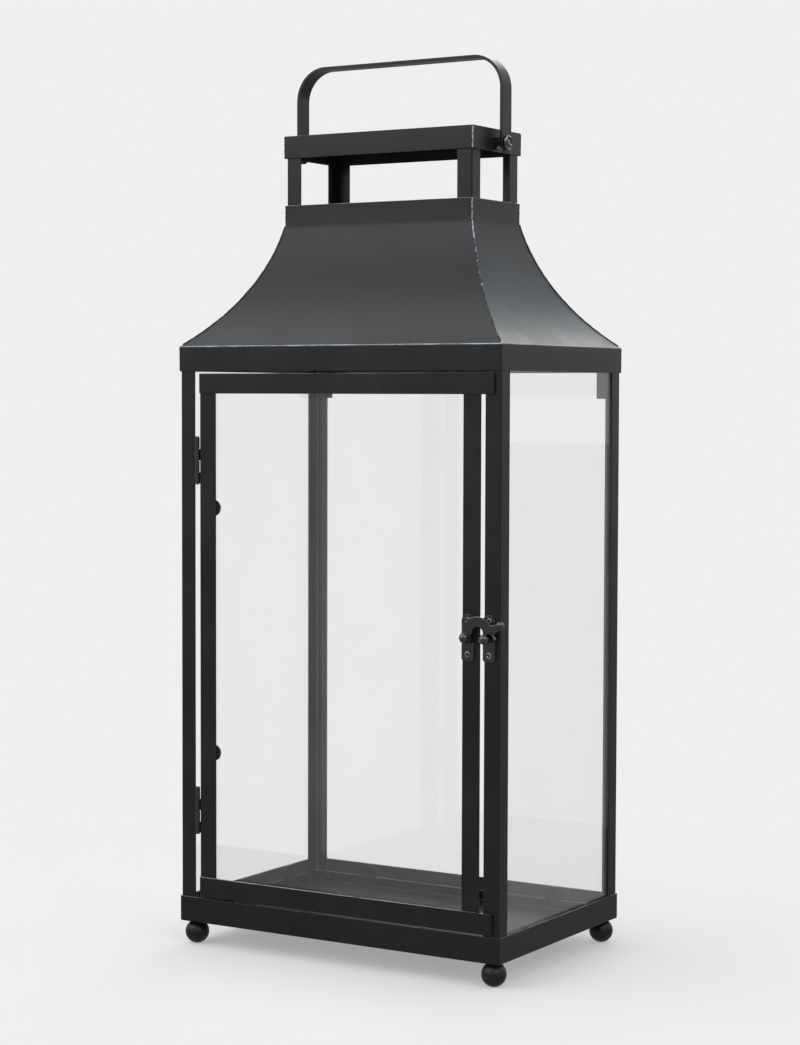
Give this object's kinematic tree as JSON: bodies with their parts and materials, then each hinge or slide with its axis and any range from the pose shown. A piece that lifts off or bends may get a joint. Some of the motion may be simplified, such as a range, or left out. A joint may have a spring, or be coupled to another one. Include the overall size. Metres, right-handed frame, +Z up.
{
  "type": "candle lantern",
  "caption": "Rectangular black metal candle lantern on ball feet, with glazed sides, a hinged glass door with a hook latch, a concave hipped roof, an open vent, a flat cap and a strap handle.",
  "frame": {"origin": "on the floor under the middle of the body, at the underside of the feet", "axes": "+X right along the door face, +Y to the back (the door faces -Y), +Z up"},
  "size_m": [0.2436, 0.1698, 0.5755],
  "materials": {
    "black_paint": "satin black paint over soldered sheet and angle",
    "black_fittings": "black coated fittings, a little glossier at the knobs",
    "clear_glass": "clear float glass with a faint grey-green edge",
    "dark_screws": "blackened steel"
  },
  "bodies": {
    "lantern_body": {"base_tray": "black_paint", "foot_front_left": "black_paint", "foot_front_right": "black_paint", "foot_rear_left": "black_paint", "foot_rear_right": "black_paint", "corner_post_front_left": "black_paint", "corner_post_front_right": "black_paint", "corner_post_rear_left": "black_paint", "corner_post_rear_right": "black_paint", "roof_panel_front": "black_paint", "roof_panel_right": "black_paint", "roof_panel_rear": "black_paint", "roof_panel_left": "black_paint", "vent_post_front_left": "black_paint", "vent_post_front_right": "black_paint", "vent_post_rear_left": "black_paint", "vent_post_rear_right": "black_paint", "cap_lid": "black_paint", "foot_screws": "dark_screws", "handle_spacer_left": "black_fittings", "handle_spacer_right": "black_fittings", "handle_rivet_left": "black_fittings", "handle_rivet_right": "black_fittings", "hinge_leaf_post_upper": "black_fittings", "hinge_leaf_post_lower": "black_fittings", "hinge_pin_upper": "black_fittings", "hinge_pin_lower": "black_fittings", "latch_plate_post": "black_fittings", "latch_catch_stud": "black_fittings", "latch_rivets_post": "black_fittings", "clips_left": "black_paint", "clips_right": "black_paint", "clips_rear": "black_paint", "glass_left": "clear_glass", "glass_right": "clear_glass", "glass_rear": "clear_glass"},
    "door": {"door_stile_left": "black_paint", "door_stile_right": "black_paint", "door_rail_top": "black_paint", "door_rail_bottom": "black_paint", "clips_door": "black_paint", "door_glass": "clear_glass", "hinge_leaf_door_upper": "black_fittings", "hinge_leaf_door_lower": "black_fittings", "latch_plate_door": "black_fittings", "latch_pivot_stud": "black_fittings", "latch_rivets_door": "black_fittings"},
    "latch_hook": {"latch_hook": "black_fittings"},
    "handle": {"handle_strap": "black_paint"}
  },
  "joints": [
    {"name": "door_swing", "type": "hinge", "parent": "lantern_body", "child": "door", "pos_m": [-0.10605, -0.0794, 0.2035], "axis": [0, 0, -1], "range_deg": [0, 145]},
    {"name": "hook_lift", "type": "hinge", "parent": "door", "child": "latch_hook", "pos_m": [0.0973, -0.0829, 0.2135], "axis": [0, -1, 0], "range_deg": [0, 95]},
    {"name": "handle_swing", "type": "hinge", "parent": "lantern_body", "child": "handle", "pos_m": [0, 0, 0.5193], "axis": [1, 0, 0], "range_deg": [-130, 130]}
  ]
}
